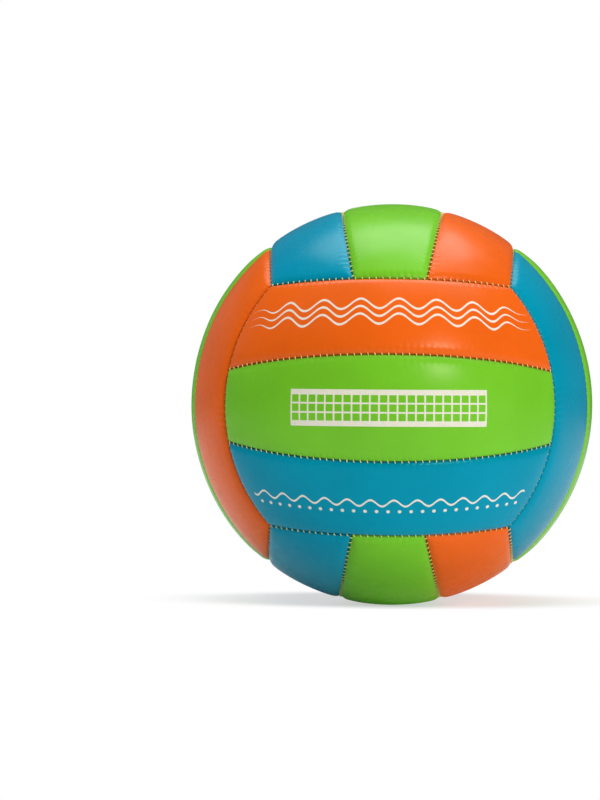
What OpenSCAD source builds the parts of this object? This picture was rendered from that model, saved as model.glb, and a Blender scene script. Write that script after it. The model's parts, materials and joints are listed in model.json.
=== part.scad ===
// Machine-stitched beach volleyball, 18 panels, with its foam, backing cloth,
// seam thread, bladder and inflation valve. All sizes are in millimetres.
// The ball's centre is the origin, +Z is up and the front face looks along -Y.
// The six faces are alike: three strips lie side by side, and each face's strips
// run square to those of its neighbours.

/* [Ball] */
// Distance round the ball, over the crowns of its panels
circumference = 670; // [650:1:690]
// Extra radius of a strip along its length, which lifts its ends
end_lift = 2.8; // [0:0.1:4]

/* [Panel layout] */
// Angle from the middle of a face to its outer seams
face_angle = 37.5; // [36.5:0.1:38.5]
// Angle from the middle of a face to its strip seams
strip_angle = 14.5; // [13.5:0.1:15.5]
// Tilt of the strip seams, which narrows the middle strip towards its ends
strip_tilt = 12; // [10:0.1:13]

/* [Panel laminate] */
// Thickness of the coloured skin
skin_t = 0.6; // [0.4:0.05:1]
// Thickness of the foam under a crown
foam_t = 3.2; // [2.6:0.1:5]
// Thickness of the backing cloth
backing_t = 0.4; // [0.3:0.05:0.8]
// Glue line between two layers
glue_t = 0.05; // [0.03:0.01:0.1]

/* [Seams] */
// Gap between two skins in a seam
seam_gap = 0.3; // [0.2:0.05:0.5]
// Depth of a seam below the crowns
roll_depth = 1.7; // [1.2:0.1:2]
// Width over which an edge rolls down into its seam
roll_width = 5; // [4:0.1:6]
// Diameter of the sewn thread
thread_d = 0.8; // [0.6:0.05:0.9]
// Depth of the thread's middle below the crowns
thread_depth = 1.2; // [1:0.05:1.2]
// Distance from a thread's end to the thread that it runs up to
thread_end_gap = 1.2; // [1:0.1:3]

/* [Bladder] */
// Wall of the rubber bladder
bladder_t = 0.8; // [0.5:0.1:1.5]
// Gap between the backing cloth and the bladder, with room for the valve's patch
bladder_gap = 0.5; // [0.45:0.05:0.8]

/* [Valve] */
// Diameter of the valve stem that shows in the skin
stem_d = 9; // [8:0.1:11]
// Depth of the stem's end below the ball's crown
stem_recess = 0.4; // [0.2:0.1:0.8]
// Length of the valve body inside the flange
pocket_length = 13; // [10:0.5:20]
// Diameter of the flange that is bonded inside the bladder
flange_d = 44; // [40:1:50]
// Thickness of that flange
flange_t = 1.2; // [0.8:0.1:2]
// Diameter of the reinforcing patch round the stem
patch_d = 32; // [26:1:34]
// Thickness of the patch
patch_t = 0.3; // [0.2:0.05:0.35]
// Diameter of the plug's head
plug_head_d = 6.4; // [5.6:0.1:7]
// Height of the plug's head
plug_head_h = 1.2; // [0.8:0.1:2]
// Diameter of the plug's shank
plug_d = 4.6; // [4:0.1:5]
// Length of the whole plug
plug_length = 17; // [14:0.5:19]
// Radius of the channel for the inflation needle
needle_r = 0.9; // [0.6:0.05:1.2]
// Radius of the channel's mouth
needle_mouth_r = 1.6; // [1.3:0.1:2]
// Depth over which the mouth narrows to the channel
needle_mouth_h = 1; // [0.6:0.1:2]
// Length of the straight part of the channel
needle_length = 12; // [10:0.5:12.5]
// Gap round each piece of the valve
valve_gap = 0.05; // [0.03:0.01:0.15]

/* [Hidden] */
$fn = 200;
// How far a cut runs past what it cuts
overrun = 2;

orange = "#e8591c";
green = "#74c923";
blue = "#008fb5";
thread_colour = "#efe9c4";
foam_colour = "#f2f0e8";
backing_colour = "#e4e2dc";
rubber_colour = "#232426";
plug_colour = "#3a3b3e";

ball_r = circumference / (2 * PI);
skin_base_r = ball_r - skin_t - foam_t;
foam_base_r = skin_base_r;
backing_r = foam_base_r - glue_t;
backing_base_r = backing_r - backing_t;
bladder_r = backing_base_r - bladder_gap;
bladder_base_r = bladder_r - bladder_t;
flange_r = bladder_base_r - valve_gap;
flange_base_r = flange_r - flange_t;
patch_r = backing_base_r - glue_t;
stem_r = ball_r - stem_recess;
plug_base_r = stem_r - plug_length;
pocket_base_r = flange_base_r - pocket_length;
needle_top_r = stem_r - needle_mouth_h;
// Radius inside every panel layer, where the seam walls may end
core_r = backing_base_r - overrun;
// Length of the cylinders that cut out along the valve's axis
far = 2 * ball_r;
// Turn to each side, depth and outer and inner radius of the bodies that bound a panel
side_turn = 62;
side_reach_share = 0.58;
side_base_share = 0.7;
side_reach = side_reach_share * ball_r;
side_r = ball_r + end_lift + 5 * overrun;
side_base_r = side_base_share * ball_r;
// How far an outer seam's wall leans over its depth
wall_lean = seam_gap / 3;
// Part of a body's room by which its rolled edge is sunk, so that no two edges
// of seams that cross meet in a point
sink_share = 0.03;

// The three faces that meet at a corner share it evenly, so it lies at this
// distance along each axis of a ball of radius one.
corner = 1 / sqrt(3);
// An outer seam is a circle through two corners and the point at face_angle.
outer_tilt = atan2(sin(face_angle) - corner, cos(face_angle) - corner);
outer_polar = 90 - (face_angle - outer_tilt);
strip_polar = 90 - (strip_angle - strip_tilt);
// Half of the turn that each seam takes round its own axis
outer_turn = atan2(1, cos(outer_tilt) + sin(outer_tilt));
strip_turn = let(
        a = sin(strip_polar) * cos(strip_tilt) * cos(outer_tilt),
        b = sin(strip_polar) * sin(outer_tilt),
        c = cos(outer_polar) + cos(strip_polar) * sin(strip_tilt) * cos(outer_tilt)
    ) acos(c / norm([a, b])) - atan2(b, a);
// Shares of roll_width at which the rolled edge has a point
roll_shares = [0, 0.1, 0.28, 0.5, 0.72];

// Each face: its name, the turn that brings the front face there, and for its
// plus, middle and minus strips the name and the colour.
FACES = [
    ["front", 0, 0, ["upper", "middle", "lower"], [orange, green, blue]],
    ["back", 180, 0, ["upper", "middle", "lower"], [blue, green, orange]],
    ["bottom", 0, 120, ["right", "middle", "left"], [orange, green, blue]],
    ["top", 180, 120, ["right", "middle", "left"], [orange, green, blue]],
    ["left", 0, 240, ["back", "middle", "front"], [blue, green, orange]],
    ["right", 180, 240, ["back", "middle", "front"], [orange, green, blue]],
];
STRIPS = [0, 1, 2];
VALVE_FACE = 1;
VALVE_STRIP = 1;

function layer_name(f, s, layer) = str(FACES[f][0], "_", FACES[f][3][s], "_", layer);

function degrees_for(length) = length / ball_r * 180 / PI;
function at(r, polar) = r * [sin(polar), cos(polar)];

// Section of the body on one side of a seam: its wall, its rolled edge, and the
// room that it takes up to the side. side is 1 for what lies further from the
// seam's axis than the seam does, and -1 for what lies nearer.
function seam_section(polar, side, wall, depth, roll_side, level, room) = let(
        last = roll_shares[len(roll_shares) - 1],
        // the roll is a parabola, and goes on straight past its last point
        past = (1 - last) / 2 + (overrun + end_lift + depth) / roll_depth / (2 * (1 - last)),
        roll = [for (s = roll_shares)
            at(ball_r - depth - roll_depth * pow(1 - s, 2) - room * sink_share,
               polar + roll_side * degrees_for(wall + s * roll_width))],
        top = at(ball_r + overrun + end_lift,
            polar + roll_side * degrees_for(wall + (last + past) * roll_width)),
        lean = at(core_r, polar + roll_side * degrees_for(wall) + degrees_for(wall_lean)),
        foot = level ? [lean[0], roll[0][1]] : lean,
        end = foot[1] - side * (side_reach + room),
        out = side_r + room,
        in = side_base_r - room
    ) concat(
        level ? [] : [foot],
        roll,
        [top, [out, top[1]], [out, end], [in, end], [in, foot[1]]]
    );

// What lies to one side of a seam. middle is the turn about the seam's axis at
// which the seam passes the middle of its face, and cuts is true for a body that
// is cut away. A strip seam's wall is level, square to its axis. The room keeps
// the plain surfaces of bodies that meet from falling together.
module beside_seam(polar, side, middle, inset, depth, room, cuts = false) {
    rotate([0, 0, middle - side_turn]) rotate_extrude(angle = 2 * side_turn)
        polygon(seam_section(polar, side, seam_gap / 2 + inset, depth,
            cuts ? -side : side, polar == strip_polar, room + depth / 2));
}

module at_strip_seam() {
    rotate([-strip_tilt, 0, 0]) children();
}

module at_outer_seam() {
    rotate([-outer_tilt, 0, 0]) children();
}

// Everything inside the crown of a strip whose middle is at this elevation
module crown(elevation, depth) {
    rotate([90 - elevation, 0, 0]) translate([0, 0, -end_lift])
        sphere(r = ball_r + end_lift - depth);
}

// What lies past both ends of a strip of the front face
module past_ends(inset, depth) {
    for (side = [-1, 1]) rotate([90, 0, side * outer_tilt])
        beside_seam(outer_polar, 1, side > 0 ? 180 : 0, inset, depth, 2 * overrun, cuts = true);
}

// A middle strip of the front face, from its surface down to core_r
module middle_blank(inset = 0, depth = 0) {
    difference() {
        intersection() {
            at_strip_seam() beside_seam(strip_polar, 1, 270, inset, depth, 0);
            crown(0, depth);
            rotate([0, 180, 0]) at_strip_seam()
                beside_seam(strip_polar, 1, 270, inset, depth, overrun);
        }
        past_ends(inset, depth);
    }
}

// The upper strip of the front face, from its surface down to core_r
module outer_blank(inset = 0, depth = 0) {
    difference() {
        intersection() {
            at_strip_seam() beside_seam(strip_polar, -1, 270, inset, depth, 0);
            crown((strip_angle + face_angle) / 2, depth);
            at_outer_seam() beside_seam(outer_polar, 1, 270, inset, depth, overrun);
        }
        past_ends(inset, depth);
    }
}

module blank(strip, inset = 0, depth = 0) {
    if (strip == 1) middle_blank(inset, depth);
    else outer_blank(inset, depth);
}

// Brings what is drawn on the front face, with a plus strip at the top, to its place
module place(f, strip = 0) {
    rotate(a = FACES[f][2], v = [1, 1, 1]) rotate([0, 0, FACES[f][1]])
        rotate([0, strip == 2 ? 180 : 0, 0]) children();
}

// Stands what is drawn along +Z on the valve's axis
module at_valve() {
    place(VALVE_FACE) rotate([90, 0, 0]) children();
}

module stem_hole(f, s) {
    if (f == VALVE_FACE && s == VALVE_STRIP)
        rotate([90, 0, 0]) cylinder(d = stem_d + 2 * valve_gap, h = far);
}

module skin(f, s) {
    color(FACES[f][4][s]) place(f, s) difference() {
        blank(s);
        blank(s, skin_t, skin_t);
        sphere(r = skin_base_r);
        stem_hole(f, s);
    }
}

module foam(f, s) {
    color(foam_colour) place(f, s) difference() {
        blank(s, skin_t + glue_t, skin_t + glue_t);
        sphere(r = foam_base_r);
        stem_hole(f, s);
    }
}

module backings(f) {
    color(backing_colour) for (s = STRIPS) place(f, s) difference() {
        intersection() {
            blank(s);
            sphere(r = backing_r);
        }
        sphere(r = backing_base_r);
        stem_hole(f, s);
    }
}

// One seam's thread, drawn round +Z, to each side of the middle of its face
module seam_thread(polar, turn) {
    reach = turn - degrees_for(thread_d + thread_end_gap) / sin(polar);
    rotate([0, 0, 270 - reach]) rotate_extrude(angle = 2 * reach)
        translate(at(ball_r - thread_depth, polar)) circle(d = thread_d, $fn = 24);
}

module seam_threads(f) {
    color(thread_colour) for (s = [0, 2]) place(f, s) {
        at_strip_seam() seam_thread(strip_polar, strip_turn);
        at_outer_seam() seam_thread(outer_polar, outer_turn);
    }
}

module bladder() {
    color(rubber_colour) difference() {
        sphere(r = bladder_r);
        sphere(r = bladder_base_r);
        at_valve() cylinder(d = stem_d + 2 * valve_gap, h = far);
    }
}

// A round piece cut from a shell, drawn along +Z
module shell_disc(d, r, base_r) {
    intersection() {
        difference() {
            sphere(r = r);
            sphere(r = base_r);
        }
        cylinder(d = d, h = far);
    }
}

module valve_patch() {
    color(backing_colour) at_valve() difference() {
        shell_disc(patch_d, patch_r, patch_r - patch_t);
        cylinder(d = stem_d + 2 * valve_gap, h = far);
    }
}

module valve_body() {
    color(rubber_colour) at_valve() difference() {
        union() {
            shell_disc(flange_d, flange_r, flange_base_r);
            intersection() {
                translate([0, 0, pocket_base_r]) cylinder(d = stem_d, h = far);
                sphere(r = stem_r);
            }
        }
        translate([0, 0, plug_base_r - valve_gap]) cylinder(d = plug_d + 2 * valve_gap, h = far);
        translate([0, 0, stem_r - plug_head_h - valve_gap])
            cylinder(d = plug_head_d + 2 * valve_gap, h = far);
    }
}

module valve_plug() {
    color(plug_colour) at_valve() difference() {
        intersection() {
            union() {
                translate([0, 0, plug_base_r]) cylinder(d = plug_d, h = plug_length);
                translate([0, 0, stem_r - plug_head_h]) cylinder(d = plug_head_d, h = plug_head_h);
            }
            sphere(r = stem_r);
        }
        translate([0, 0, needle_top_r - needle_length])
            cylinder(r = needle_r, h = needle_length + overrun);
        translate([0, 0, needle_top_r])
            cylinder(r1 = needle_r, r2 = needle_mouth_r, h = needle_mouth_h);
    }
}

for (f = [0 : len(FACES) - 1]) {
    for (s = STRIPS) {
        skin(f, s);
        foam(f, s);
    }
    backings(f);
    seam_threads(f);
}
bladder();
valve_patch();
valve_body();
valve_plug();
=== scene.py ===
import json
import math
from functools import cached_property

import bpy
import numpy as np
from bpy.props import FloatProperty, FloatVectorProperty, PointerProperty
from mathutils import Matrix, Vector

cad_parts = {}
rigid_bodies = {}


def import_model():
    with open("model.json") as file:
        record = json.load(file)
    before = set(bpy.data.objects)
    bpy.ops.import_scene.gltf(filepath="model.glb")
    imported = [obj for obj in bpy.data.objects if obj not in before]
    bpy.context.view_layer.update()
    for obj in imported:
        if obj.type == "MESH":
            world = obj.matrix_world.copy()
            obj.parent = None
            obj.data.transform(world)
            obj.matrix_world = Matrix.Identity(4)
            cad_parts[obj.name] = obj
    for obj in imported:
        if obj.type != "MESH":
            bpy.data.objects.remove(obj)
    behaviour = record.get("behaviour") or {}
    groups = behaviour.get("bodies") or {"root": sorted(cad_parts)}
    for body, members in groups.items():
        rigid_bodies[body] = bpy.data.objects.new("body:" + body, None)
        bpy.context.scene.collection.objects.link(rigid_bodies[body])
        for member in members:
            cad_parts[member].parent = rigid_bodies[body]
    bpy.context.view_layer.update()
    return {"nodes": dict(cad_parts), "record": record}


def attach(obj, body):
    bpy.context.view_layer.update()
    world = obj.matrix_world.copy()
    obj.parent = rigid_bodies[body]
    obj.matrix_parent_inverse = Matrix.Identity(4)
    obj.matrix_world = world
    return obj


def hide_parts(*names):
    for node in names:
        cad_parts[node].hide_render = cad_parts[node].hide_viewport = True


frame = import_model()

bl_info = {
    "name": "Stitched volleyball",
    "version": (1, 0, 0),
    "blender": (4, 5, 0),
    "location": "View3D > Sidebar > Volleyball",
    "description": "Dresses a ball of eighteen padded panels with skins, stitches and a valve",
    "category": "Mesh",
}

MM = 0.001
MOUNTS = {mount["name"]: mount for mount in frame["record"]["mounts"]}
BALL_RADIUS = -MOUNTS["ground_contact"]["pos_m"][2]

# Each face: its name, its turn about Z and then about the diagonal, and for its
# plus, middle and minus strips the name and the colour.
FACES = (
    ("front", 0, 0, ("upper", "middle", "lower"), ("orange", "green", "blue")),
    ("back", 180, 0, ("upper", "middle", "lower"), ("blue", "green", "orange")),
    ("bottom", 0, 120, ("right", "middle", "left"), ("orange", "green", "blue")),
    ("top", 180, 120, ("right", "middle", "left"), ("orange", "green", "blue")),
    ("left", 0, 240, ("back", "middle", "front"), ("blue", "green", "orange")),
    ("right", 180, 240, ("back", "middle", "front"), ("orange", "green", "blue")),
)
PLUS, MIDDLE, MINUS = 0, 1, 2
# The strips of each face whose outer seams swallow their thread
TIGHT_SEAMS = {"left": (PLUS, MINUS), "right": (PLUS, MINUS), "top": (PLUS, MINUS), "bottom": (MINUS,)}
WHITE = (1, 1, 1)
# The tint of each skin's shine
SHINE = {"orange": WHITE, "green": WHITE, "blue": (0.25, 1, 1)}
# The face and strip with the valve in it
VALVE_PLACE = ("back", MIDDLE)

# Cells of the flat pattern along and across a strip, how many of them at each
# edge are cut finer, and by how many cuts
CELLS_ALONG = 55
CELLS_ACROSS = 14
EDGE_CELLS = 2
EDGE_CUTS = 5
# How strongly the rows crowd towards a seam
EDGE_CROWDING = 1.6
# Depths of the rings of the turned-in edge, as shares of its whole depth
EDGE_RINGS = (0.1, 0.35, 1.0)
# The part of the valve's strip that is cut finer, as shares of its length and width
VALVE_REACH = (0.2, 0.5)
VALVE_CUTS = 4
HOLE_SIDES = 64
# Points on each column of a strip along which its length is measured
COLUMN_SAMPLES = 240
SMOOTH_ANGLE = math.radians(55)

# The share of a roll's width that bends. Past it the roll runs straight on
ROLL_BEND = 0.86
# Heights that differ by less than this are rounded into each other
ROLL_BLEND = 0.5 * MM
# How far from its seam a pucker is deepest, and how narrow it is beside the next
PUCKER_PLACE = 0.8 * MM
PUCKER_SHARPNESS = 1.5
# How much the puckers differ in depth, and the two lengths over which they do
PUCKER_CHANGE = 0.25
PUCKER_LENGTHS = (4.1 * MM, 9.7 * MM)
# Direction and phase of each slow wave in the padding. A longer direction makes a shorter wave
SLACK_WAVES = (((9, 4, 7), 0.3), ((-5, 11, 3), 1.9), ((3, -6, 12), 4.1), ((14, 9, -8), 2.6))

# Sides of a stitch's thread, and the cuts along it
THREAD_SIDES = 6
THREAD_CUTS = 5
# How much thinner the ends of a stitch are, how far they bend down, and how suddenly
END_TAPER = 0.3
END_BEND = 0.45 * MM
END_SHARPNESS = 4
# How far a stitch strays along its seam, and the phase of that for each stitch and face
STRAY = 0.12 * MM
STRAY_PHASES = (12.9, 3.7)
# The share of two nearby skins' colours in the thread's tint
SKIN_TINT = 0.3

# Each lamp: its name, place, width and height, power, colour, and whether it shows in reflections
LAMPS = (
    ("top light", (0.2, 0.09, 1.3), (1.3, 1.1), 8.1, WHITE, True),
    ("top back light", (0.0, 0.35, 1.25), (1.3, 0.7), 6.9, WHITE, True),
    ("key light", (0.68, -1.25, 0.60), (0.32, 0.32), 8.5, (1.0, 0.9, 0.66), True),
    ("edge light", (-1.05, 1.0, 0.1), (1.0, 1.2), 0.6, WHITE, True),
    ("low right fill", (1.25, -0.95, 0.02), (0.9, 0.2), 6.0, WHITE, False),
    ("left fill", (-1.35, 0.5, 0.4), (0.9, 0.9), 3.0, WHITE, False),
    ("upper left fill", (-0.75, -0.4, 1.15), (0.9, 0.9), 6.4, WHITE, False),
)
FLOOR_SIZE = 8


class BallSizes(bpy.types.PropertyGroup):
    """Sizes of the ball's panels and seams"""

    ball_radius: FloatProperty(
        name="Ball radius", description="Radius over the crowns of the panels",
        default=BALL_RADIUS, unit="LENGTH")
    end_lift: FloatProperty(
        name="End lift", description="Extra radius of a strip along its length",
        default=2.8 * MM, unit="LENGTH")
    face_angle: FloatProperty(
        name="Face angle", description="Angle from the middle of a face to its outer seams",
        default=math.radians(37.5), unit="ROTATION")
    strip_angle: FloatProperty(
        name="Strip angle", description="Angle from the middle of a face to its strip seams",
        default=math.radians(14.5), unit="ROTATION")
    strip_tilt: FloatProperty(
        name="Strip tilt", description="Tilt of the strip seams, which narrows the middle strip",
        default=math.radians(12), unit="ROTATION")
    skin_thickness: FloatProperty(
        name="Skin thickness", description="Thickness of the coloured skin",
        default=0.5 * MM, unit="LENGTH")
    panel_depth: FloatProperty(
        name="Panel depth", description="Depth to which a skin's edges are turned in",
        default=3.8 * MM, unit="LENGTH")
    seam_gap: FloatProperty(
        name="Seam gap", description="Gap between the two skins in a seam",
        default=0.06 * MM, unit="LENGTH")
    roll_depth: FloatProperty(
        name="Roll depth", description="Depth of a seam below the crowns",
        default=1.55 * MM, unit="LENGTH")
    roll_width: FloatProperty(
        name="Roll width", description="Width over which an edge rolls down into its seam",
        default=5 * MM, unit="LENGTH")
    fold_radius: FloatProperty(
        name="Fold radius", description="Width of the tight fold where the skin turns in",
        default=1.2 * MM, unit="LENGTH")
    fold_drop: FloatProperty(
        name="Fold drop", description="Depth of that tight fold",
        default=0.45 * MM, unit="LENGTH")
    pucker_depth: FloatProperty(
        name="Pucker depth", description="How deep a stitch pulls the skin in",
        default=0.22 * MM, unit="LENGTH")
    pucker_reach: FloatProperty(
        name="Pucker reach", description="How far a pucker runs into the panel",
        default=3.4 * MM, unit="LENGTH")
    slack: FloatProperty(
        name="Slack", description="Height of the slow waves in the padded surface",
        default=0.1 * MM, unit="LENGTH")


class StitchSizes(bpy.types.PropertyGroup):
    """Sizes of the stitches"""

    pitch: FloatProperty(
        name="Pitch", description="Distance from one stitch to the next",
        default=3.45 * MM, unit="LENGTH")
    width: FloatProperty(
        name="Width", description="Diameter of the thread",
        default=0.58 * MM, unit="LENGTH")
    reach: FloatProperty(
        name="Reach", description="How far a stitch reaches to each side of its seam",
        default=0.85 * MM, unit="LENGTH")
    slant: FloatProperty(
        name="Slant", description="Shift of a stitch's end along the seam",
        default=0.2 * MM, unit="LENGTH")
    depth: FloatProperty(
        name="Depth", description="Depth of a stitch's middle below the crowns",
        default=1.12 * MM, unit="LENGTH")
    tight_depth: FloatProperty(
        name="Tight depth", description="The same, where the thread is pulled into its seam",
        default=1.95 * MM, unit="LENGTH")


class ValveSizes(bpy.types.PropertyGroup):
    """Sizes of the skin round the valve"""

    hole_radius: FloatProperty(
        name="Hole radius", description="Radius of the hole in the skin for the valve's stem",
        default=4.6 * MM, unit="LENGTH")
    dip: FloatProperty(
        name="Dip", description="How far the skin sinks at the hole",
        default=0.5 * MM, unit="LENGTH")
    dip_reach: FloatProperty(
        name="Dip reach", description="How far from the hole the skin sinks",
        default=4 * MM, unit="LENGTH")
    ring_radius: FloatProperty(
        name="Ring radius", description="Radius of the ring printed round the valve",
        default=9.5 * MM, unit="LENGTH")


class BallColours(bpy.types.PropertyGroup):
    """Colours of the skins and the thread"""

    orange: FloatVectorProperty(
        name="Orange", description="Colour of the orange skins", subtype="COLOR",
        default=(0.80, 0.122, 0.006), min=0, max=1)
    green: FloatVectorProperty(
        name="Green", description="Colour of the green skins", subtype="COLOR",
        default=(0.162, 0.54, 0.022), min=0, max=1)
    blue: FloatVectorProperty(
        name="Blue", description="Colour of the blue skins", subtype="COLOR",
        default=(0.0, 0.272, 0.436), min=0, max=1)
    thread: FloatVectorProperty(
        name="Thread", description="Colour of the sewing thread", subtype="COLOR",
        default=(0.95, 0.84, 0.34), min=0, max=1)
    ink: FloatVectorProperty(
        name="Ink", description="Colour of the prints on the skins", subtype="COLOR",
        default=(0.78, 0.76, 0.70), min=0, max=1)


class StageLook(bpy.types.PropertyGroup):
    """Camera, floor and the room's light"""

    camera_distance: FloatProperty(
        name="Camera distance", description="From the camera to the ball's centre",
        default=1.17, unit="LENGTH")
    camera_azimuth: FloatProperty(
        name="Camera azimuth", description="Turn of the camera round the ball, to the right",
        default=math.radians(0.92), unit="ROTATION")
    camera_elevation: FloatProperty(
        name="Camera elevation", description="Angle of the camera above the ball's middle",
        default=math.radians(0.97), unit="ROTATION")
    camera_roll: FloatProperty(
        name="Camera roll", description="Turn of the camera about its own axis",
        default=math.radians(0.37), unit="ROTATION")
    floor_colour: FloatVectorProperty(
        name="Floor", description="Colour of the floor", subtype="COLOR",
        default=(0.86, 0.86, 0.87), min=0, max=1)
    # painted light: a glow from the floor's right side that lights the ball's underside, though no lamp is
    # there
    floor_glow: FloatProperty(
        name="Floor glow", description="Light that the floor's right side sends up to the ball",
        default=0.7, min=0, max=1)
    room_light: FloatProperty(
        name="Room light", description="Strength of the faint light from all around",
        default=0.1, min=0, max=1)


# Geometry of the seams, all on the front face


class Seam:
    """A circle on the ball, by its axis and polar angle. Turns along it start at its middle"""

    def __init__(self, axis, polar, middle, along):
        self.axis = np.array(axis)
        self.polar = polar
        self.middle = np.array(middle)
        self.along = np.array(along)

    def polar_of(self, ways):
        return np.arccos(np.clip(ways @ self.axis, -1, 1))

    def turn_of(self, ways):
        return np.arctan2(ways @ self.along, ways @ self.middle)

    def point(self, polar, turn):
        ring = math.cos(turn) * self.middle + math.sin(turn) * self.along
        return math.cos(polar) * self.axis + math.sin(polar) * ring


class Layout:
    """The seams round the front face's strips, worked out from the ball's sizes"""

    def __init__(self, sizes, stitch):
        self.sizes = sizes
        corner = 1 / math.sqrt(3)
        face, strip, tilt = sizes.face_angle, sizes.strip_angle, sizes.strip_tilt
        self.tilt = tilt
        self.lean = math.atan2(math.sin(face) - corner, math.cos(face) - corner)
        outer_polar = math.pi / 2 - (face - self.lean)
        strip_polar = math.pi / 2 - (strip - tilt)
        sin_tilt, cos_tilt = math.sin(tilt), math.cos(tilt)
        sin_lean, cos_lean = math.sin(self.lean), math.cos(self.lean)
        self.inner = Seam((0, sin_tilt, cos_tilt), strip_polar, (0, -cos_tilt, sin_tilt), (1, 0, 0))
        self.lower = Seam((0, sin_tilt, -cos_tilt), strip_polar, (0, -cos_tilt, -sin_tilt), (1, 0, 0))
        self.outer = Seam((0, sin_lean, cos_lean), outer_polar, (0, -cos_lean, sin_lean), (1, 0, 0))
        self.right = Seam((-sin_lean, -cos_lean, 0), outer_polar, (cos_lean, -sin_lean, 0), (0, 0, 1))
        self.left = Seam((sin_lean, -cos_lean, 0), outer_polar, (-cos_lean, -sin_lean, 0), (0, 0, 1))
        self.wall = sizes.seam_gap / 2 / sizes.ball_radius
        self.inner_turn = self.end_turn(self.tilt, strip_polar, outer_polar)
        self.outer_turn = self.end_turn(self.lean, outer_polar, outer_polar)
        self.inner_pitch = self.even_pitch(self.inner, self.inner_turn, stitch.pitch)
        self.outer_pitch = self.even_pitch(self.outer, self.outer_turn, stitch.pitch)

    def end_turn(self, tilt, polar, end_polar):
        """Half of the turn that a seam takes between the seams at its two ends"""
        sin_lean, cos_lean = math.sin(self.lean), math.cos(self.lean)
        reach = math.sin(polar) * math.hypot(math.cos(tilt) * cos_lean, sin_lean)
        level = math.cos(end_polar) + math.cos(polar) * math.sin(tilt) * cos_lean
        return math.acos(level / reach) - math.atan2(sin_lean, math.cos(tilt) * cos_lean)

    def even_pitch(self, seam, turn, pitch):
        """The stitch pitch that divides a seam into an odd number of stitches"""
        length = 2 * turn * math.sin(seam.polar) * self.sizes.ball_radius
        count = 2 * round((length / pitch - 1) / 2) + 1
        return length / count

    def pitch_of(self, seam):
        return self.inner_pitch if seam in (self.inner, self.lower) else self.outer_pitch

    def bounds_of(self, middle_strip):
        """The seams round a strip, each with +1 where the strip lies further from its axis"""
        ends = [(self.right, -1), (self.left, -1)]
        if middle_strip:
            return [(self.inner, 1), (self.lower, 1)] + ends
        return [(self.inner, -1), (self.outer, 1)] + ends


def crowded(cell, cells, total, band):
    """Distance from one edge of a strip for a row or column of its pattern"""
    low = band * np.clip(cell / EDGE_CELLS, 0, 1) ** EDGE_CROWDING
    high = band * np.clip((cells - cell) / EDGE_CELLS, 0, 1) ** EDGE_CROWDING
    step = (total - 2 * band) / (cells - 2 * EDGE_CELLS)
    between = np.clip(cell - EDGE_CELLS, 0, cells - 2 * EDGE_CELLS)
    return low + between * step + (band - high)


def cut_ways(layout, u, w, middle_strip):
    """Directions where the plane of a column, u, cuts those of the rows, w"""
    sin_lean, cos_lean = math.sin(layout.lean), math.cos(layout.lean)
    sin_tilt, cos_tilt = math.sin(layout.tilt), math.cos(layout.tilt)
    end = math.cos(layout.outer.polar - layout.wall)
    p, q = u * cos_lean / sin_lean, -u * end / sin_lean
    if middle_strip:
        level = math.cos(layout.inner.polar + layout.wall)
        a, b = w * sin_tilt / cos_tilt, w * level / cos_tilt
    else:
        near = math.cos(layout.inner.polar - layout.wall)
        far = math.cos(layout.outer.polar + layout.wall)
        scale = (1 - w) * cos_tilt + w * cos_lean
        a = ((1 - w) * sin_tilt + w * sin_lean) / scale
        b = ((1 - w) * near + w * far) / scale
    # along the line of both planes x = p n + q and z = a n + b, cut with the unit ball
    square, half, rest = 1 + p * p + a * a, p * q + a * b, q * q + b * b - 1
    n = (-half + np.sqrt(half * half - square * rest)) / square
    return np.stack([p * n + q, -n, a * n + b], axis=-1)


def strip_ways(layout, flat, middle_strip):
    """Directions from the ball's centre for the points of the flat pattern"""
    sizes = layout.sizes
    side = 1 if middle_strip else -1
    polar = layout.inner.polar + side * layout.wall
    end_polar = layout.outer.polar - layout.wall
    half_turn = layout.end_turn(layout.tilt, polar, end_polar)
    ring = math.sin(polar) * sizes.ball_radius
    length = 2 * half_turn * ring
    band = EDGE_CELLS * layout.inner_pitch
    columns, which = np.unique(np.round(flat[:, 0], 6), return_inverse=True)
    along = crowded((columns + 1) / 2 * CELLS_ALONG, CELLS_ALONG, length, band)
    ways = np.empty((len(flat), 3))
    samples = np.linspace(-1 if middle_strip else 0, 1, COLUMN_SAMPLES)
    for number, place in enumerate(along):
        start = layout.inner.point(polar, place / ring - half_turn)
        # the column's plane passes this point of the inner seam
        u = start[0] * math.sin(layout.lean)
        u /= -start[1] * math.cos(layout.lean) - math.cos(end_polar)
        line = cut_ways(layout, u, samples, middle_strip)
        steps = np.linalg.norm(np.diff(line, axis=0), axis=1) * sizes.ball_radius
        travelled = np.concatenate([[0], np.cumsum(steps)])
        mine = which == number
        across = crowded((flat[mine, 1] + 1) / 2 * CELLS_ACROSS, CELLS_ACROSS, travelled[-1], band)
        w = np.interp(across, travelled, samples)
        ways[mine] = cut_ways(layout, u, w, middle_strip)
    return ways


def soft_least(values, blend):
    """The least of several heights, with the change from one to the next rounded"""
    least = values[0]
    for value in values[1:]:
        mix = np.clip(0.5 + 0.5 * (value - least) / blend, 0, 1)
        least = value + (least - value) * mix - blend * mix * (1 - mix)
    return least


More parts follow.
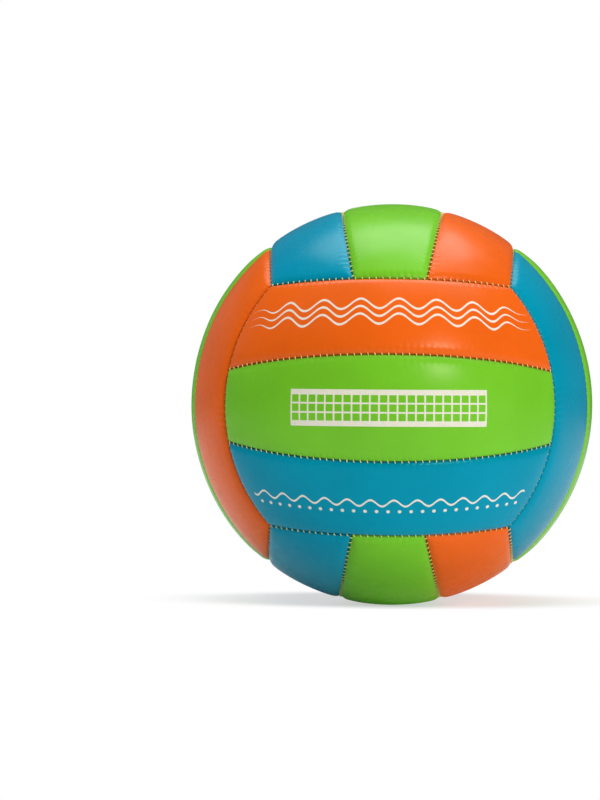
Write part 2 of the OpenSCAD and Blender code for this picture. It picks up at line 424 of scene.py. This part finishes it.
def strip_heights(layout, ways, middle_strip):
    """Radius of a strip's padded surface in each direction, and the distance to its nearest seam"""
    sizes = layout.sizes
    elevation = 0 if middle_strip else (sizes.strip_angle + sizes.face_angle) / 2
    top = ways @ (0, -math.cos(elevation), math.sin(elevation))
    # the crown lies on a larger ball that touches this one at the strip's middle
    big = sizes.ball_radius + sizes.end_lift
    crown = -sizes.end_lift * top + np.sqrt(big ** 2 - sizes.end_lift ** 2 * (1 - top ** 2))
    heights, nearest, pulls = [crown], np.inf, 0
    for seam, side in layout.bounds_of(middle_strip):
        away = side * (seam.polar_of(ways) - seam.polar) * sizes.ball_radius - sizes.seam_gap / 2
        away = np.maximum(away, 0)
        share = away / sizes.roll_width
        bent = (1 - np.minimum(share, ROLL_BEND)) ** 2
        straight = 2 * (1 - ROLL_BEND) * np.maximum(share - ROLL_BEND, 0)
        roll = sizes.ball_radius - sizes.roll_depth * (bent - straight)
        fold = np.clip(1 - away / sizes.fold_radius, 0, 1) ** 2
        heights.append(roll - sizes.fold_drop * fold)
        run = seam.turn_of(ways) * math.sin(seam.polar) * sizes.ball_radius
        wave = 0.5 + 0.5 * np.cos(2 * math.pi * run / layout.pitch_of(seam))
        short, long = (run / length for length in PUCKER_LENGTHS)
        unevenness = 1 - PUCKER_CHANGE + PUCKER_CHANGE * np.sin(short) * np.sin(long + 1)
        pull = np.exp(-((away - PUCKER_PLACE) / sizes.pucker_reach) ** 2)
        pulls = np.maximum(pulls, pull * (wave ** PUCKER_SHARPNESS) * unevenness)
        nearest = np.minimum(nearest, away)
    return soft_least(heights, ROLL_BLEND) - sizes.pucker_depth * pulls, nearest


# Modelling helpers


def placing(face, strip):
    """The turn that brings the front face's upper or middle strip to another place"""
    about_diagonal = Matrix.Rotation(math.radians(FACES[face][2]), 4, Vector((1, 1, 1)))
    about_z = Matrix.Rotation(math.radians(FACES[face][1]), 4, "Z")
    upside = Matrix.Rotation(math.pi if strip == MINUS else 0, 4, "Y")
    return about_diagonal @ about_z @ upside


def only(piece):
    """Makes a piece the only one selected"""
    for each in bpy.context.scene.objects:
        each.select_set(each == piece)
    bpy.context.view_layer.objects.active = piece


def new_object(name, data):
    """Adds an object to the scene, at the origin"""
    made = bpy.data.objects.new(name, data)
    bpy.context.scene.collection.objects.link(made)
    return made


def read_points(mesh):
    points = np.empty(len(mesh.vertices) * 3)
    mesh.vertices.foreach_get("co", points)
    return points.reshape(-1, 3)


def write_points(mesh, points):
    mesh.vertices.foreach_set("co", points.astype(np.float32).ravel())
    mesh.update()


def apply_modifier(piece, kind, **settings):
    only(piece)
    modifier = piece.modifiers.new(kind, kind)
    for key, value in settings.items():
        setattr(modifier, key, value)
    bpy.ops.object.modifier_apply(modifier=modifier.name)


def keep(piece, name, material):
    """Names a finished piece, gives it its finish and ties it to the ball's body"""
    piece.name = piece.data.name = name
    piece.data.materials.clear()
    piece.data.materials.append(material)
    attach(piece, "root")
    return piece


def cut_finer(kind, parts, chosen, cuts):
    """Subdivides the faces or edges that the function chooses"""
    bpy.ops.object.mode_set(mode="EDIT")
    bpy.ops.mesh.select_mode(type=kind)
    bpy.ops.mesh.select_all(action="DESELECT")
    bpy.ops.object.mode_set(mode="OBJECT")
    for part in parts:
        part.select = chosen(part)
    bpy.ops.object.mode_set(mode="EDIT")
    bpy.ops.mesh.subdivide(number_cuts=cuts)
    bpy.ops.object.mode_set(mode="OBJECT")


def near_middle(face, x, y):
    """Whether a face's middle lies nearer to the pattern's middle than x and y"""
    return abs(face.center.x) < x and abs(face.center.y) < y


def flat_pattern(with_valve):
    """A flat strip: a grid that is finer along its edges, with its edges turned down"""
    bpy.ops.mesh.primitive_grid_add(
        x_subdivisions=CELLS_ALONG, y_subdivisions=CELLS_ACROSS, size=2, location=(0, 0, 0))
    pattern = bpy.context.object
    faces = pattern.data.polygons
    x, y = 1 - 2 * EDGE_CELLS / CELLS_ALONG, 1 - 2 * EDGE_CELLS / CELLS_ACROSS
    cut_finer("FACE", faces, lambda face: not near_middle(face, x, y), EDGE_CUTS)
    if with_valve:
        cut_finer("FACE", faces, lambda face: near_middle(face, *VALVE_REACH), VALVE_CUTS)
    bpy.ops.object.mode_set(mode="EDIT")
    bpy.ops.mesh.select_mode(type="EDGE")
    bpy.ops.mesh.select_all(action="DESELECT")
    bpy.ops.mesh.select_non_manifold()
    # the outer edge is selected, and each ring lies one unit below the last
    for _ in EDGE_RINGS:
        bpy.ops.mesh.extrude_region_move(TRANSFORM_OT_translate={"value": (0, 0, -1)})
    bpy.ops.object.mode_set(mode="OBJECT")
    return pattern


def padded_strip(layout, middle_strip, valve=None):
    """One strip of the front face, shaped from the flat pattern"""
    strip = flat_pattern(valve is not None)
    flat = read_points(strip.data)
    ways = strip_ways(layout, flat, middle_strip)
    heights, nearest = strip_heights(layout, ways, middle_strip)
    if valve:
        from_stem = np.arccos(np.clip(-ways[:, 1], -1, 1)) * layout.sizes.ball_radius
        from_hole = np.maximum(from_stem - valve.hole_radius, 0)
        heights -= valve.dip * np.exp(-(from_hole / valve.dip_reach) ** 2)
    base = layout.sizes.ball_radius - layout.sizes.panel_depth
    rings = np.concatenate([[0], EDGE_RINGS])[np.round(-flat[:, 2]).astype(int)]
    heights += (base - heights) * rings
    nearest = nearest - rings * layout.sizes.panel_depth
    write_points(strip.data, ways * heights[:, None])
    distance = strip.data.attributes.new("seam_distance", "FLOAT", "POINT")
    distance.data.foreach_set("value", (nearest / MM).astype(np.float32))
    apply_modifier(strip, "SOLIDIFY", thickness=layout.sizes.skin_thickness, offset=-1)
    if valve:
        cut_valve_hole(strip, valve, layout.sizes)
    only(strip)
    bpy.ops.object.shade_smooth_by_angle(angle=SMOOTH_ANGLE)
    return strip


def cut_valve_hole(strip, valve, sizes):
    """Cuts the hole for the stem through the middle of a front strip"""
    bpy.ops.mesh.primitive_cylinder_add(
        vertices=HOLE_SIDES, radius=valve.hole_radius, depth=4 * sizes.panel_depth,
        location=(0, -sizes.ball_radius, 0), rotation=(math.pi / 2, 0, 0))
    cutter = bpy.context.object
    apply_modifier(strip, "BOOLEAN", operation="DIFFERENCE", solver="EXACT", object=cutter)
    bpy.data.objects.remove(cutter)
    # near the hole the skin gets painted shade towards its rim, as it does towards a seam
    points = read_points(strip.data)
    from_hole = np.hypot(points[:, 0], points[:, 2]) - valve.hole_radius
    distance = strip.data.attributes["seam_distance"]
    values = np.empty(len(points), dtype=np.float32)
    distance.data.foreach_get("value", values)
    beside = from_hole < 2 * valve.hole_radius
    values[beside] = from_hole[beside] / MM
    distance.data.foreach_set("value", values)


def slow_waves(points, height):
    """Moves points in or out a little, as on hand-filled padding"""
    radii = np.linalg.norm(points, axis=1)
    ways = points / radii[:, None]
    swell = np.zeros(len(points))
    for direction, phase in SLACK_WAVES:
        swell += np.sin(ways @ direction + phase)
    return points + ways * (height * swell / len(SLACK_WAVES))[:, None]


# Materials


class Wire:
    """A node's output, on which sums are written as Python expressions"""

    def __init__(self, finish, socket):
        self.finish = finish
        self.socket = socket

    def maths(self, operation, first, second=0.0):
        return self.finish.node("ShaderNodeMath", 0, {"operation": operation}, {0: first, 1: second})

    def __add__(self, other):
        return self.maths("ADD", self, other)

    __radd__ = __add__

    def __sub__(self, other):
        return self.maths("SUBTRACT", self, other)

    def __rsub__(self, other):
        return self.maths("SUBTRACT", other, self)

    def __mul__(self, other):
        return self.maths("MULTIPLY", self, other)

    __rmul__ = __mul__

    def __truediv__(self, other):
        return self.maths("DIVIDE", self, other)

    def absolute(self):
        return self.maths("ABSOLUTE", self)

    def sine(self):
        return self.maths("SINE", self)

    def nearest(self, pitch):
        """Distance to the nearest whole multiple of a pitch"""
        return self.maths("PINGPONG", self, pitch / 2)

    def below(self, limit, soft):
        """1 where this value is below a limit and 0 above, with a soft change"""
        return self.ramp(limit - soft, limit + soft, 1.0, 0.0)

    def least(self, other):
        return self.maths("MINIMUM", self, other)

    def most(self, other):
        return self.maths("MAXIMUM", self, other)

    def ramp(self, low, high, start=0.0, end=1.0):
        """Smooth step from start to end as this value goes from low to high"""
        return self.finish.node(
            "ShaderNodeMapRange", 0, {"interpolation_type": "SMOOTHSTEP", "clamp": True},
            {"Value": self, "From Min": low, "From Max": high, "To Min": start, "To Max": end})


class Finish:
    """The nodes of a material or a world, built one by one"""

    def __init__(self, owner):
        owner.use_nodes = True
        self.owner = owner
        self.tree = owner.node_tree
        self.tree.nodes.clear()

    @cached_property
    def place(self):
        """Object coordinates, in metres from the ball's centre"""
        return self.node("ShaderNodeTexCoord", "Object")

    def node(self, kind, output=None, settings=None, sockets=None):
        """Adds a node with its settings and its sockets' values or links, and returns one output"""
        made = self.tree.nodes.new(kind)
        for key, value in (settings or {}).items():
            setattr(made, key, value)
        for key, value in (sockets or {}).items():
            if isinstance(value, Wire):
                self.tree.links.new(value.socket, made.inputs[key])
            elif isinstance(value, tuple) and len(value) == 3 and made.inputs[key].type == "RGBA":
                made.inputs[key].default_value = (*value, 1)
            else:
                made.inputs[key].default_value = value
        return None if output is None else Wire(self, made.outputs[output])

    def noise(self, scale, detail):
        """Soft spots, as many to the metre as the scale says"""
        sockets = {"Vector": self.place, "Scale": scale, "Detail": detail}
        return self.node("ShaderNodeTexNoise", "Fac", None, sockets)

    def grains(self, scale):
        """Distance to the middle of the nearest grain, as a share of a grain"""
        return self.node("ShaderNodeTexVoronoi", "Distance", None, {"Vector": self.place, "Scale": scale})

    def mixed(self, factor, first, second):
        """Colour that goes from first to second, by the node's sockets for colours"""
        return self.node("ShaderNodeMix", 2, {"data_type": "RGBA"}, {0: factor, 6: first, 7: second})

    def vectors(self, operation, output, *sockets):
        return self.node("ShaderNodeVectorMath", output, {"operation": operation}, dict(enumerate(sockets)))

    def shifted(self, shift):
        return self.vectors("ADD", "Vector", self.place, shift)

    def stretched(self, vector, by):
        return self.vectors("MULTIPLY", "Vector", vector, by)

    def length(self, vector):
        return self.vectors("LENGTH", "Value", vector)

    def reach(self, way):
        """How far the place lies along a direction"""
        return self.vectors("DOT_PRODUCT", "Value", self.place, way)

    def bump(self, height, distance, strength):
        sockets = {"Height": height, "Distance": distance, "Strength": strength}
        return self.node("ShaderNodeBump", "Normal", None, sockets)

    def surface(self, **sockets):
        """Ends the material in one Principled shader"""
        named = {key.replace("_", " "): value for key, value in sockets.items()}
        shader = self.node("ShaderNodeBsdfPrincipled", "BSDF", None, named)
        self.node("ShaderNodeOutputMaterial", sockets={"Surface": shader})
        return self.owner


def shade(colour, factor):
    return tuple(min(1.0, part * factor) for part in colour)


def print_place(finish, elevation, tilt):
    """Millimetres along and across a curve that runs round the front face like its seams"""
    radius = BALL_RADIUS / MM
    polar = math.pi / 2 - (elevation - tilt)
    upward = finish.reach((0, math.sin(tilt), math.cos(tilt)))
    forward = finish.reach((0, -math.cos(tilt), math.sin(tilt)))
    sideways = finish.reach((1, 0, 0))
    along = upward.maths("ARCTAN2", sideways, forward) * (radius * math.sin(polar))
    level = upward.maths("ARCSINE", upward / finish.length(finish.place))
    return along, (level - (elevation - tilt)) * radius


# The prints' sizes are in millimetres, and a half is half of a line's width


def wave_print(finish):
    """Three thin waves side by side, which get lower and thinner at their ends"""
    elevation, tilt = math.radians(26.5), math.radians(10)
    full_end, last_end = 52, 78
    length, least_height, more_height = 19.2, 0.4, 2.4
    spacing, half, soft = 4.2, 0.62, 0.12
    along, across = print_place(finish, elevation, tilt)
    ends = along.absolute().ramp(full_end, last_end, 1.0, 0.0)
    wave = (along * (2 * math.pi / length)).sine() * (least_height + more_height * ends)
    lines = (across - wave).nearest(spacing).below(half * ends, soft)
    all_three = (across - wave).absolute().below(6, 0.2)
    return lines * all_three * ends.ramp(0, 0.02)


def net_print(finish):
    """A stretch of net between two tapes"""
    mesh, half, soft = 4.5, 0.42, 0.1
    half_length, half_height, tape_from = 11 * mesh + half, 9.0, 1.5 * mesh
    along, across = print_place(finish, 0, 0)
    cord = along.nearest(mesh).least((across + mesh / 2).nearest(mesh)).below(half, soft)
    tape = across.absolute().ramp(tape_from - soft, tape_from + soft)
    whole = along.absolute().below(half_length, soft) * across.absolute().below(half_height, soft)
    return cord.most(tape) * whole


def ripple_print(finish):
    """A thin ripple over a row of dots"""
    elevation, tilt = math.radians(-27), math.radians(-10)
    half_print, length, height, half, soft = 73.5, 11.5, 1.7, 0.55, 0.12
    ripple_above, dots_below, dot_square, dot_soft = 1.5, 3.2, 0.8, 0.25
    along, across = print_place(finish, elevation, tilt)
    wave = (along * (2 * math.pi / length)).sine() * height
    ripple = (across - ripple_above - wave).absolute().below(half, soft)
    beside, under = along.nearest(length / 2), across + dots_below
    dots = (beside * beside + under * under).below(dot_square, dot_soft)
    return ripple.most(dots) * along.absolute().below(half_print, 0.2)


def ring_print(finish, radius):
    """A thin ring round the valve's stem, of a radius in metres"""
    half, soft = 0.45 * MM, 0.1 * MM
    from_stem = finish.length(finish.stretched(finish.place, (1, 0, 1)))
    return (from_stem - radius).absolute().below(half, soft)


def skin_finish(name, colour, shine, ink=None, pattern=None):
    """Soft synthetic leather: fine pebble grain, satin, with painted shade darkening it down in the seams
    """
    darker, paler, painted_seam_shade, wear = 0.95, 1.04, 0.42, 0.1
    finish = Finish(bpy.data.materials.new(name))
    distance = finish.node("ShaderNodeAttribute", "Fac", {"attribute_name": "seam_distance"})
    cloudy = finish.noise(scale=24, detail=3).ramp(0.3, 0.7)
    base = finish.mixed(cloudy, shade(colour, darker), shade(colour, paler))
    # painted shade: the skin is darker down in its seams and at the valve's hole, where shade falls
    base = finish.mixed(distance.ramp(-0.3, 0.95), shade(colour, painted_seam_shade), base)
    fine = finish.noise(scale=3200, detail=2)
    rough = 0.22 + 0.06 * finish.noise(scale=60, detail=3) + 0.04 * fine
    height = finish.grains(scale=1500).ramp(0.1, 0.7) * 0.7 + fine * 0.4
    if pattern:
        printed = pattern(finish)
        whole = finish.noise(scale=900, detail=3).ramp(0.35, 0.5)
        base = finish.mixed(printed * (1 - wear + wear * whole), base, ink)
        rough = rough + printed * 0.06
        height = height + printed * 0.5
    normal = finish.bump(height, distance=0.05 * MM, strength=0.35)
    return finish.surface(
        Base_Color=base, Roughness=rough, Normal=normal, Specular_IOR_Level=0.19, Specular_Tint=shine)


def thread_finish(colour):
    """Twisted polyester thread, tinted by the skins near it"""
    finish = Finish(bpy.data.materials.new("sewing thread"))
    tint = finish.node("ShaderNodeAttribute", "Color", {"attribute_name": "thread_tint"})
    ply = finish.noise(scale=2500, detail=2).ramp(0.35, 0.65)
    base = finish.mixed(ply * 0.2, tint, shade(colour, 0.75))
    normal = finish.bump(ply, distance=0.08 * MM, strength=0.4)
    return finish.surface(Base_Color=base, Roughness=0.55, Normal=normal)


def foam_finish():
    """Closed-cell foam, pale and matt, with fine pores"""
    in_pore, between = (0.7, 0.69, 0.63), (0.88, 0.87, 0.82)
    finish = Finish(bpy.data.materials.new("panel foam"))
    pores = finish.grains(scale=1200).ramp(0.1, 0.6)
    base = finish.mixed(pores, in_pore, between)
    normal = finish.bump(pores, distance=0.1 * MM, strength=0.5)
    return finish.surface(Base_Color=base, Roughness=0.85, Normal=normal)


def cloth_finish():
    """Woven cotton backing cloth"""
    in_gap, on_yarn = (0.66, 0.64, 0.6), (0.82, 0.8, 0.76)
    yarns = 5200
    finish = Finish(bpy.data.materials.new("backing cloth"))
    axes = (1, 0, 0), (0, 0, 1), (0, 1, 0)
    warp, weft, third = ((finish.reach(axis) * yarns).sine() for axis in axes)
    weave = (warp * weft + third).ramp(-1, 1)
    base = finish.mixed(weave, in_gap, on_yarn)
    normal = finish.bump(weave, distance=0.1 * MM, strength=0.5)
    return finish.surface(Base_Color=base, Roughness=0.8, Normal=normal)


def rubber_finish(name, colour, rough):
    """Moulded rubber with a faint bloom"""
    finish = Finish(bpy.data.materials.new(name))
    bloom = finish.noise(scale=180, detail=4).ramp(0.35, 0.7)
    base = finish.mixed(bloom, colour, tuple(part * 1.3 + 0.012 for part in colour))
    normal = finish.bump(finish.noise(scale=2600, detail=3), distance=0.04 * MM, strength=0.5)
    return finish.surface(Base_Color=base, Roughness=rough + 0.12 * bloom, Normal=normal)


# Operators


def layout_now(context):
    return Layout(context.scene.ball_sizes, context.scene.stitch_sizes)


def skin_for(context, face, strip):
    """The finish of a strip, with a print on the front strips and round the valve"""
    colours, ring = context.scene.ball_colours, context.scene.valve_sizes.ring_radius
    paint = FACES[face][4][strip]
    patterns = {
        ("front", PLUS): (" with waves", wave_print),
        ("front", MIDDLE): (" with net", net_print),
        ("front", MINUS): (" with ripple", ripple_print),
        VALVE_PLACE: (" with ring", lambda finish: ring_print(finish, ring)),
    }
    extra, pattern = patterns.get((FACES[face][0], strip), ("", None))
    name = paint + " skin" + extra
    made = bpy.data.materials.get(name)
    colour = tuple(getattr(colours, paint))
    return made or skin_finish(name, colour, SHINE[paint], tuple(colours.ink), pattern)


def place_strip(context, layout, template, face, strip):
    """Copies a strip of the front face to one place on the ball"""
    name, _, _, names, paints = FACES[face]
    mesh = template.data.copy()
    mesh.transform(placing(face, strip))
    write_points(mesh, slow_waves(read_points(mesh), layout.sizes.slack))
    piece = new_object("strip", mesh)
    material = skin_for(context, face, strip)
    keep(piece, "%s_%s_panel" % (name, names[strip]), material)
    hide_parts("%s_%s_skin" % (name, names[strip]))


class BALL_OT_outer_panels(bpy.types.Operator):
    """Make the twelve outer strips"""

    bl_idname = "ball.outer_panels"
    bl_label = "Outer panels"

    def execute(self, context):
        layout = layout_now(context)
        template = padded_strip(layout, False)
        for face in range(len(FACES)):
            for strip in (PLUS, MINUS):
                place_strip(context, layout, template, face, strip)
        bpy.data.objects.remove(template)
        return {"FINISHED"}


class BALL_OT_middle_panels(bpy.types.Operator):
    """Make the six middle strips, with the valve's hole in the back one"""

    bl_idname = "ball.middle_panels"
    bl_label = "Middle panels"

    def execute(self, context):
        layout = layout_now(context)
        plain = padded_strip(layout, True)
        with_hole = padded_strip(layout, True, context.scene.valve_sizes)
        for face in range(len(FACES)):
            template = with_hole if (FACES[face][0], MIDDLE) == VALVE_PLACE else plain
            place_strip(context, layout, template, face, MIDDLE)
        for template in (plain, with_hole):
            bpy.data.objects.remove(template)
        return {"FINISHED"}


def one_stitch(stitch):
    """A short bar of thread across a seam, its ends bent down into the skins"""
    bpy.ops.mesh.primitive_cylinder_add(
        vertices=THREAD_SIDES, radius=stitch.width / 2, depth=2 * stitch.reach, end_fill_type="NGON",
        location=(0, 0, 0), rotation=(0, math.pi / 2, 0))
    bar = bpy.context.object
    bpy.ops.object.transform_apply()

    def lengthwise(edge):
        first, second = (bar.data.vertices[number].co for number in edge.vertices)
        return abs(first.x - second.x) > stitch.reach

    cut_finer("EDGE", bar.data.edges, lengthwise, THREAD_CUTS)
    points = read_points(bar.data)
    share = points[:, 0] / stitch.reach
    at_end = share ** END_SHARPNESS
    thinner = 1 - END_TAPER * at_end
    points[:, 1] = points[:, 1] * thinner + stitch.slant * share
    points[:, 2] = points[:, 2] * thinner - END_BEND * at_end
    write_points(bar.data, points)
    only(bar)
    bpy.ops.object.shade_smooth()
    return bar


def mixed_tint(colours, first, second):
    """The thread's colour with a little of two skins near it"""
    thread = np.array(colours.thread)
    skins = (np.array(getattr(colours, first)) + np.array(getattr(colours, second))) / 2
    return (*(thread * (1 - SKIN_TINT) + skins * SKIN_TINT), 1)


def sewn_seams(layout, stitch, shape, face):
    """The points of each stitch on a face's four seams, and the strip that it is beside"""
    for strip in (PLUS, MINUS):
        turned = np.array(placing(face, strip).to_3x3())
        for seam, half, pitch in (
                (layout.inner, layout.inner_turn, layout.inner_pitch),
                (layout.outer, layout.outer_turn, layout.outer_pitch)):
            ring = math.sin(seam.polar) * layout.sizes.ball_radius
            count = round(2 * half * ring / pitch)
            tight = seam is layout.outer and strip in TIGHT_SEAMS.get(FACES[face][0], ())
            height = layout.sizes.ball_radius - (stitch.tight_depth if tight else stitch.depth)
            for number in range(count):
                turn = (number - (count - 1) / 2) * pitch / ring
                up = seam.point(seam.polar, turn)
                along = np.cos(turn) * seam.along - np.sin(turn) * seam.middle
                lie = np.stack([np.cross(along, up), along, up])
                stray = math.sin(STRAY_PHASES[0] * number + STRAY_PHASES[1] * face) * STRAY
                yield ((shape + (0, stray, height)) @ lie) @ turned.T, strip


class BALL_OT_stitches(bpy.types.Operator):
    """Make the stitches of all seams, one piece for each face"""

    bl_idname = "ball.stitches"
    bl_label = "Stitches"

    def execute(self, context):
        layout = layout_now(context)
        stitch = context.scene.stitch_sizes
        colours = context.scene.ball_colours
        bar = one_stitch(stitch)
        shape = read_points(bar.data)
        sides = [tuple(side.vertices) for side in bar.data.polygons]
        bpy.data.objects.remove(bar)
        material = thread_finish(tuple(colours.thread))
        for face, (name, _, _, _, paints) in enumerate(FACES):
            points, faces, tints = [], [], []
            for moved, strip in sewn_seams(layout, stitch, shape, face):
                first = len(points) * len(shape)
                faces += [tuple(first + corner for corner in side) for side in sides]
                points.append(moved)
                tints.append(mixed_tint(colours, paints[strip], paints[MIDDLE]))
            mesh = bpy.data.meshes.new("stitches")
            mesh.from_pydata(np.concatenate(points).tolist(), [], faces)
            mesh.shade_smooth()
            tint = mesh.attributes.new("thread_tint", "FLOAT_COLOR", "POINT")
            tint.data.foreach_set("color", np.repeat(tints, len(shape), axis=0).astype(np.float32).ravel())
            mesh.update()
            piece = new_object("stitches", mesh)
            keep(piece, name + "_stitches", material)
            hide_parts(name + "_seam_threads")
        return {"FINISHED"}


def refinish(name, finish):
    """Gives a CAD node another finish"""
    for slot in frame["nodes"][name].material_slots:
        slot.material = finish


class BALL_OT_inner_layers(bpy.types.Operator):
    """Give the foam, the backing cloth and the bladder their finishes"""

    bl_idname = "ball.inner_layers"
    bl_label = "Inner layers"

    def execute(self, context):
        foam, cloth = foam_finish(), cloth_finish()
        rubber = rubber_finish("bladder rubber", colour=(0.03, 0.03, 0.032), rough=0.5)
        layers = {"_foam": foam, "_backings": cloth, "valve_patch": cloth, "bladder": rubber}
        for name in frame["nodes"]:
            for ending, finish in layers.items():
                if name.endswith(ending):
                    refinish(name, finish)
        return {"FINISHED"}


class BALL_OT_valve(bpy.types.Operator):
    """Give the valve's pieces their finishes"""

    bl_idname = "ball.valve"
    bl_label = "Valve"

    def execute(self, context):
        refinish("valve_body", rubber_finish("valve rubber", colour=(0.035, 0.035, 0.037), rough=0.5))
        refinish("valve_plug", rubber_finish("plug rubber", colour=(0.055, 0.055, 0.06), rough=0.38))
        return {"FINISHED"}


def soft_light(name, place, size, power, colour, reflected):
    """A large lamp that faces the ball, and may stay out of its reflections"""
    lamp = bpy.data.lights.new(name, "AREA")
    lamp.shape = "RECTANGLE"
    lamp.size, lamp.size_y = size
    lamp.energy = power
    lamp.color = colour
    light = new_object(name, lamp)
    light.location = place
    light.rotation_euler = Vector(place).to_track_quat("Z", "Y").to_euler()
    light.visible_glossy = reflected


def make_floor(look, radius):
    """A pale floor that is white to the camera but for the ball's shadow, partly real and partly painted"""
    bpy.ops.mesh.primitive_plane_add(size=FLOOR_SIZE, location=(0, 0, 0))
    floor = bpy.context.object
    floor.name = floor.data.name = "floor"
    floor.data.transform(Matrix.Translation((0, 0, -radius)))
    finish = Finish(bpy.data.materials.new("pale floor"))
    paint = tuple(look.floor_colour)
    uneven = finish.noise(scale=40, detail=3).ramp(0.3, 0.7)
    tone = finish.mixed(uneven, paint, shade(paint, 0.985))
    diffuse = finish.node("ShaderNodeBsdfDiffuse", "BSDF", None, {"Color": tone})
    white = finish.node("ShaderNodeEmission", "Emission", None, {"Color": WHITE, "Strength": 1.0})
    # to the camera, the ball's shadow is painted in part: the floor shows grey in an ellipse that reaches
    # behind the ball, most where the ball touches, and its real light and shade show only there
    at_contact, in_shadow, contact_reach = 0.5, 0.62, 0.04
    shadow_back, shadow_squash, fades_from, fades_to = 0.02, 2.9, 0.08, 0.15
    touching = finish.length(finish.shifted((0, 0, radius)))
    behind = finish.shifted((0, -shadow_back, radius))
    away = finish.length(finish.stretched(behind, (1, shadow_squash, 1)))
    whiteness = touching.ramp(0.0, contact_reach, at_contact, in_shadow)
    whiteness = whiteness + away.ramp(fades_from, fades_to, 0.0, 1 - in_shadow)
    # painted light: to diffuse rays the floor's right side glows, though it is no lamp, and lights the
    # ball's underside
    glow_from, glow_full = -0.06, 0.1
    sideways = finish.reach((1, 0, 0))
    glow = sideways.ramp(glow_from, glow_full, 0.0, look.floor_glow)
    glow = finish.node("ShaderNodeLightPath", "Is Diffuse Ray") * glow
    mask = finish.node("ShaderNodeLightPath", "Is Camera Ray") * whiteness + glow
    both = finish.node("ShaderNodeMixShader", 0, None, {0: mask, 1: diffuse, 2: white})
    finish.node("ShaderNodeOutputMaterial", sockets={"Surface": both})
    floor.data.materials.append(finish.owner)


def make_world(look):
    """A faint light from all around, and white where the camera looks past the floor"""
    world = bpy.data.worlds.new("studio")
    bpy.context.scene.world = world
    finish = Finish(world)
    camera_ray = finish.node("ShaderNodeLightPath", "Is Camera Ray")
    room, seen = (
        finish.node("ShaderNodeBackground", "Background", None, {"Color": WHITE, "Strength": strength})
        for strength in (look.room_light, 1.0))
    both = finish.node("ShaderNodeMixShader", 0, None, {0: camera_ray, 1: room, 2: seen})
    finish.node("ShaderNodeOutputWorld", sockets={"Surface": both})


def make_camera(look):
    """The camera at the photograph's place, with its frame"""
    # the picture's size, and the ball's middle and radius in it, in its pixels
    width, height, middle_x, middle_y, radius_px = 600, 800, 391.8, 404.5, 200.4
    camera = bpy.data.cameras.new("camera")
    rig = new_object("camera", camera)
    turn, rise = look.camera_azimuth, look.camera_elevation
    back = Vector((math.sin(turn) * math.cos(rise), -math.cos(turn) * math.cos(rise), math.sin(rise)))
    rig.location = back * look.camera_distance
    facing = (-back).to_track_quat("-Z", "Y").to_matrix().to_4x4()
    facing = facing @ Matrix.Rotation(look.camera_roll, 4, "Z")
    rig.rotation_euler = facing.to_euler()
    seen = math.tan(math.asin(BALL_RADIUS / look.camera_distance))
    camera.sensor_width = 36
    camera.lens = camera.sensor_width * radius_px / seen / height
    camera.shift_x = (width / 2 - middle_x) / height
    camera.shift_y = (middle_y - height / 2) / height
    camera.clip_start, camera.clip_end = 0.05, 50
    bpy.context.scene.camera = rig


class BALL_OT_stage(bpy.types.Operator):
    """Make the floor, the lights, the world and the camera"""

    bl_idname = "ball.stage"
    bl_label = "Stage"

    def execute(self, context):
        look = context.scene.stage_look
        make_floor(look, context.scene.ball_sizes.ball_radius)
        make_world(look)
        for lamp in LAMPS:
            soft_light(*lamp)
        make_camera(look)
        context.scene.view_settings.view_transform = "Standard"
        return {"FINISHED"}


class BALL_PT_pieces(bpy.types.Panel):
    """Lists the steps that dress the ball"""

    bl_idname = "BALL_PT_pieces"
    bl_label = "Volleyball"
    bl_space_type = "VIEW_3D"
    bl_region_type = "UI"
    bl_category = "Volleyball"

    def draw(self, context):
        for operator in OPERATORS:
            self.layout.operator(operator.bl_idname)
        for group in GROUPS:
            box = self.layout.box()
            settings = getattr(context.scene, GROUPS[group])
            for name in group.__annotations__:
                box.prop(settings, name)


OPERATORS = (
    BALL_OT_outer_panels,
    BALL_OT_middle_panels,
    BALL_OT_stitches,
    BALL_OT_inner_layers,
    BALL_OT_valve,
    BALL_OT_stage,
)
GROUPS = {
    BallSizes: "ball_sizes",
    StitchSizes: "stitch_sizes",
    ValveSizes: "valve_sizes",
    BallColours: "ball_colours",
    StageLook: "stage_look",
}


def register():
    for group, name in GROUPS.items():
        bpy.utils.register_class(group)
        setattr(bpy.types.Scene, name, PointerProperty(type=group))
    for each in (*OPERATORS, BALL_PT_pieces):
        bpy.utils.register_class(each)


def unregister():
    for each in (BALL_PT_pieces, *reversed(OPERATORS)):
        bpy.utils.unregister_class(each)
    for group, name in GROUPS.items():
        delattr(bpy.types.Scene, name)
        bpy.utils.unregister_class(group)


def main():
    register()
    bpy.ops.ball.outer_panels()
    bpy.ops.ball.middle_panels()
    bpy.ops.ball.stitches()
    bpy.ops.ball.inner_layers()
    bpy.ops.ball.valve()
    bpy.ops.ball.stage()


if __name__ == "__main__":
    main()
